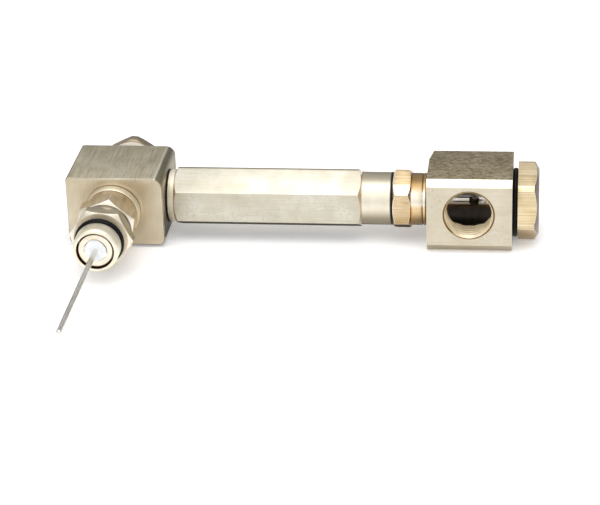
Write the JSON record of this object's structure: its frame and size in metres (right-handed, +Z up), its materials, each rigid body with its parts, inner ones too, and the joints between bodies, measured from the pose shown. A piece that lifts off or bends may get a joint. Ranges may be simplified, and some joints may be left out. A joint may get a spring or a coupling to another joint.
{
  "type": "oil burner nozzle assembly",
  "caption": "Brass oil burner nozzle assembly: inlet block with threaded port, hexagonal oil tube, nozzle block and plug-in nozzle with a long sliding needle.",
  "frame": {"origin": "On the nozzle's axis, at the rear end of the plug-in spigot's wall, where its O-ring groove begins.", "axes": "-Y is the way the nozzle and its needle point, +X runs along the oil tube to the inlet block, +Z is up."},
  "size_m": [0.1197, 0.1, 0.0199],
  "materials": {
    "plated_brass": "satin",
    "brass": "polished",
    "sintered_bronze": "matt",
    "steel_wire": "satin",
    "spring_steel": "satin",
    "bearing_steel": "polished",
    "ptfe": "satin",
    "rubber": "satin"
  },
  "bodies": {
    "housing": {"nozzle_body": "plated_brass", "nozzle_adapter": "plated_brass", "adapter_washer": "plated_brass", "nozzle_block": "plated_brass", "oil_tube": "plated_brass", "inlet_block": "plated_brass", "rear_cap": "brass", "inlet_nipple": "brass", "end_plug": "brass", "inlet_strainer": "sintered_bronze", "needle_spring": "spring_steel", "check_spring": "spring_steel", "nozzle_o_ring": "rubber", "rear_cap_seal": "rubber", "tube_seal": "rubber", "nipple_tube_seal": "rubber", "nipple_block_seal": "rubber", "end_plug_o_ring": "rubber"},
    "needle_unit": {"nozzle_needle": "steel_wire", "needle_bush": "ptfe", "needle_carrier": "brass", "valve_seal_disc": "rubber", "seal_disc_nut": "brass"},
    "ball": {"check_ball": "bearing_steel"}
  },
  "joints": [
    {"name": "needle_slide", "type": "slide", "parent": "housing", "child": "needle_unit", "axis": [0, 1, 0], "range_m": [0, 0.0019], "stiffness_N_per_m": 400, "springref_m": -0.003, "deforming": ["needle_spring"]},
    {"name": "check_ball_lift", "type": "slide", "parent": "housing", "child": "ball", "axis": [-1, 0, 0], "range_m": [0, 0.0016], "stiffness_N_per_m": 60, "springref_m": -0.002, "deforming": ["check_spring"]}
  ]
}
